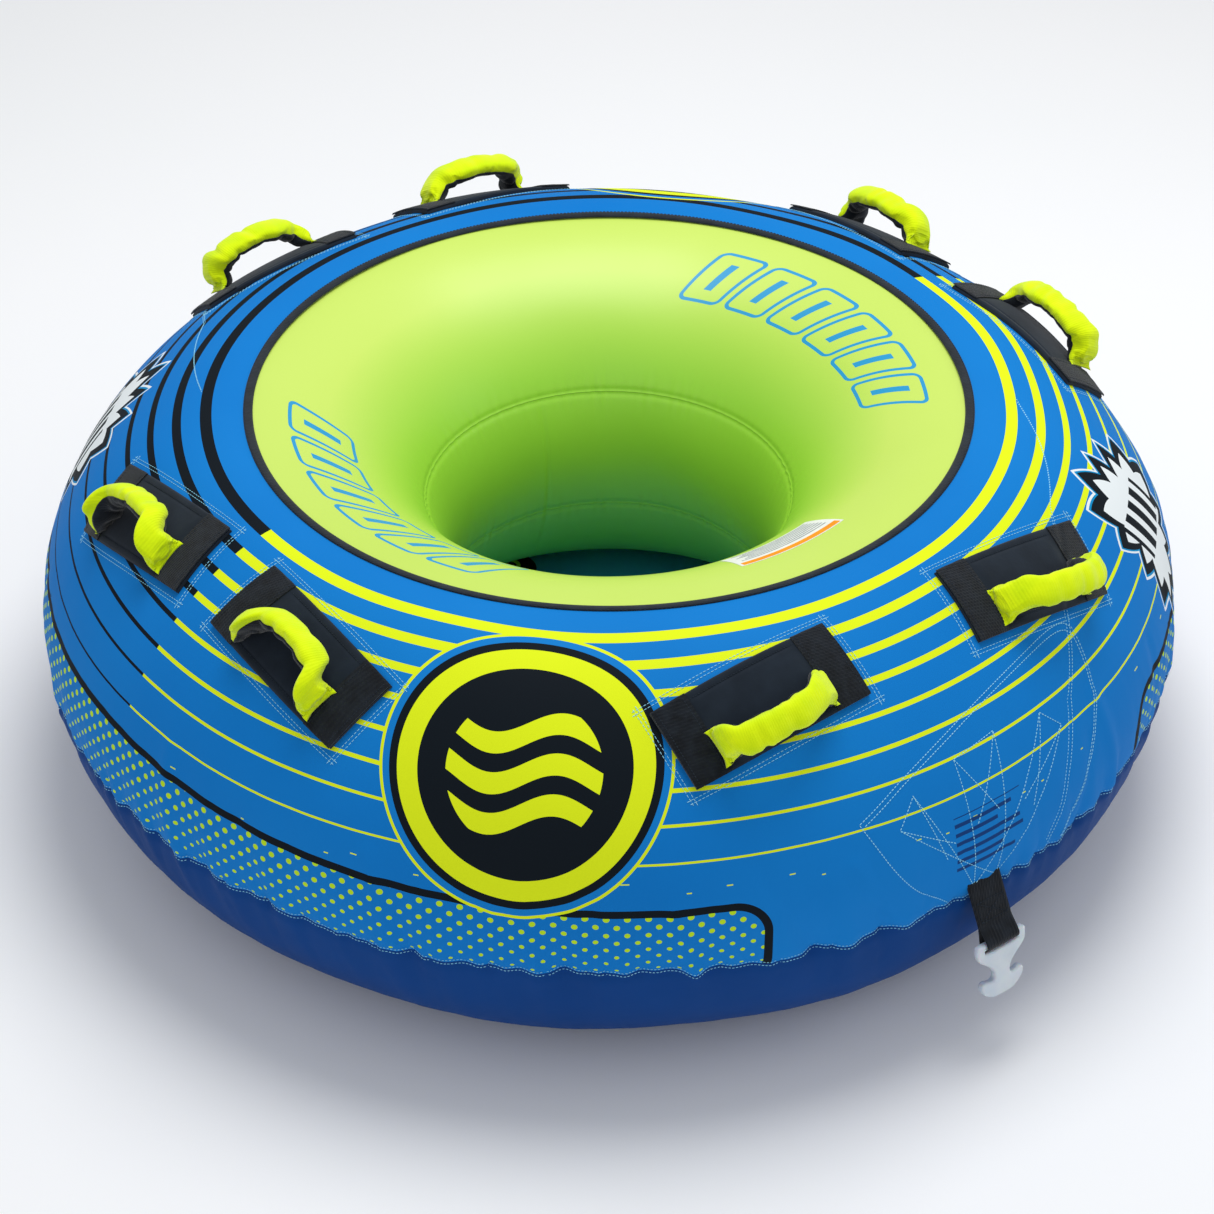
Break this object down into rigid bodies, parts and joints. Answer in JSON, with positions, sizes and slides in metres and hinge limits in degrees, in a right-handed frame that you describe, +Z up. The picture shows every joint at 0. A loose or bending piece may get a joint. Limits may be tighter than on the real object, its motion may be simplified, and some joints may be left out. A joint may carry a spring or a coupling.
{
  "type": "towable tube",
  "caption": "Round inflatable towable tube with a fabric cover, an open floored well, padded grab handles and a webbing tow loop with a moulded hook.",
  "frame": {"origin": "middle of the flat underside of the floor, where the tube rests", "axes": "+Z up along the axis of the round tube, -Y towards the tow point, +X to the right"},
  "size_m": [1.7778, 1.8383, 0.6412],
  "materials": {
    "bladder_vinyl": "welded vinyl film, satin",
    "cover_fabric": "printed woven nylon, stitched",
    "floor_fabric": "plain woven nylon",
    "binding_tape": "ribbed binding tape",
    "pad_neoprene": "smooth fabric-faced foam rubber",
    "black_webbing": "ribbed polyester webbing",
    "grip_fabric": "padded woven sleeve, fluorescent",
    "hook_plastic": "moulded translucent plastic",
    "valve_plastic": "moulded plastic",
    "valve_cap_plastic": "moulded plastic",
    "zipper_tape": "woven tape with a coil",
    "zipper_metal": "die-cast metal"
  },
  "bodies": {
    "tube": {"back_left_handle_pad": "pad_neoprene", "back_left_handle_webbing_1": "black_webbing", "back_left_handle_webbing_2": "black_webbing", "back_right_handle_pad": "pad_neoprene", "back_right_handle_webbing_1": "black_webbing", "back_right_handle_webbing_2": "black_webbing", "bladder_bottom_panel": "bladder_vinyl", "bladder_inner_wall": "bladder_vinyl", "bladder_top_panel": "bladder_vinyl", "cover_floor": "floor_fabric", "cover_lower_side": "cover_fabric", "cover_top": "cover_fabric", "front_left_handle_pad": "pad_neoprene", "front_left_handle_webbing_1": "black_webbing", "front_left_handle_webbing_2": "black_webbing", "front_right_handle_pad": "pad_neoprene", "front_right_handle_webbing_1": "black_webbing", "front_right_handle_webbing_2": "black_webbing", "left_back_handle_pad": "pad_neoprene", "left_back_handle_webbing_1": "black_webbing", "left_back_handle_webbing_2": "black_webbing", "left_front_handle_pad": "pad_neoprene", "left_front_handle_webbing_1": "black_webbing", "left_front_handle_webbing_2": "black_webbing", "opening_binding": "binding_tape", "right_back_handle_pad": "pad_neoprene", "right_back_handle_webbing_1": "black_webbing", "right_back_handle_webbing_2": "black_webbing", "right_front_handle_pad": "pad_neoprene", "right_front_handle_webbing_1": "black_webbing", "right_front_handle_webbing_2": "black_webbing", "tow_harness_centre": "black_webbing", "tow_harness_left": "black_webbing", "tow_harness_right": "black_webbing", "valve_collar": "valve_plastic", "valve_seat": "valve_plastic", "zipper_tape": "zipper_tape"},
    "front_right_grip": {"front_right_grip": "grip_fabric", "front_right_grip_strap": "black_webbing"},
    "right_front_grip": {"right_front_grip": "grip_fabric", "right_front_grip_strap": "black_webbing"},
    "right_back_grip": {"right_back_grip": "grip_fabric", "right_back_grip_strap": "black_webbing"},
    "back_right_grip": {"back_right_grip": "grip_fabric", "back_right_grip_strap": "black_webbing"},
    "back_left_grip": {"back_left_grip": "grip_fabric", "back_left_grip_strap": "black_webbing"},
    "left_back_grip": {"left_back_grip": "grip_fabric", "left_back_grip_strap": "black_webbing"},
    "left_front_grip": {"left_front_grip": "grip_fabric", "left_front_grip_strap": "black_webbing"},
    "front_left_grip": {"front_left_grip": "grip_fabric", "front_left_grip_strap": "black_webbing"},
    "tow_strap": {"tow_strap": "black_webbing"},
    "tow_hook": {"tow_hook": "hook_plastic"},
    "valve_cap": {"valve_cap": "valve_cap_plastic"},
    "zipper_slider": {"zipper_slider": "zipper_metal"},
    "zipper_pull": {"zipper_pull": "zipper_metal"}
  },
  "joints": [
    {"name": "front_right_grip_tilt", "type": "hinge", "parent": "tube", "child": "front_right_grip", "pos_m": [0.23779, -0.71716, 0.57934], "axis": [0.9827, 0.0672, -0.1724], "range_deg": [-85, 45]},
    {"name": "right_front_grip_tilt", "type": "hinge", "parent": "tube", "child": "right_front_grip", "pos_m": [0.72862, -0.19993, 0.57934], "axis": [0.0156, 0.9849, 0.1724], "range_deg": [-35, 95]},
    {"name": "right_back_grip_tilt", "type": "hinge", "parent": "tube", "child": "right_back_grip", "pos_m": [0.72862, 0.19993, 0.57934], "axis": [-0.0156, 0.9849, -0.1724], "range_deg": [-30, 100]},
    {"name": "back_right_grip_tilt", "type": "hinge", "parent": "tube", "child": "back_right_grip", "pos_m": [0.23779, 0.71716, 0.57934], "axis": [-0.9827, 0.0672, 0.1724], "range_deg": [-30, 100]},
    {"name": "back_left_grip_tilt", "type": "hinge", "parent": "tube", "child": "back_left_grip", "pos_m": [-0.17438, 0.73516, 0.57934], "axis": [-0.9848, 0.0188, -0.1724], "range_deg": [-35, 95]},
    {"name": "left_back_grip_tilt", "type": "hinge", "parent": "tube", "child": "left_back_grip", "pos_m": [-0.73516, 0.17438, 0.57934], "axis": [0.0188, -0.9848, 0.1724], "range_deg": [-10, 120]},
    {"name": "left_front_grip_tilt", "type": "hinge", "parent": "tube", "child": "left_front_grip", "pos_m": [-0.72502, -0.21261, 0.57934], "axis": [0.0328, -0.9845, -0.1724], "range_deg": [-10, 120]},
    {"name": "front_left_grip_tilt", "type": "hinge", "parent": "tube", "child": "front_left_grip", "pos_m": [-0.25027, -0.7129, 0.57934], "axis": [0.9814, -0.0843, 0.1724], "range_deg": [-87, 43]},
    {"name": "tow_strap_swing", "type": "hinge", "parent": "tube", "child": "tow_strap", "pos_m": [0, -0.895, 0.262], "axis": [-1, 0, 0], "range_deg": [-24, 92]},
    {"name": "tow_hook_pivot", "type": "hinge", "parent": "tow_strap", "child": "tow_hook", "pos_m": [0, -0.93021, 0.19578], "axis": [-1, 0, 0], "range_deg": [-12, 80]},
    {"name": "valve_cap_turn", "type": "hinge", "parent": "tube", "child": "valve_cap", "pos_m": [0.10464, 0.43252, 0], "axis": [0, 0, 1], "range_deg": [0, 360]},
    {"name": "zipper_slide", "type": "hinge", "parent": "tube", "child": "zipper_slider", "pos_m": [0, 0, 0], "axis": [0, 0, 1], "range_deg": [0, 64]},
    {"name": "zipper_pull_lift", "type": "hinge", "parent": "zipper_slider", "child": "zipper_pull", "pos_m": [0.44997, 0.7201, 0.11047], "axis": [-0.2892, -0.4628, -0.8379], "range_deg": [0, 150]}
  ]
}
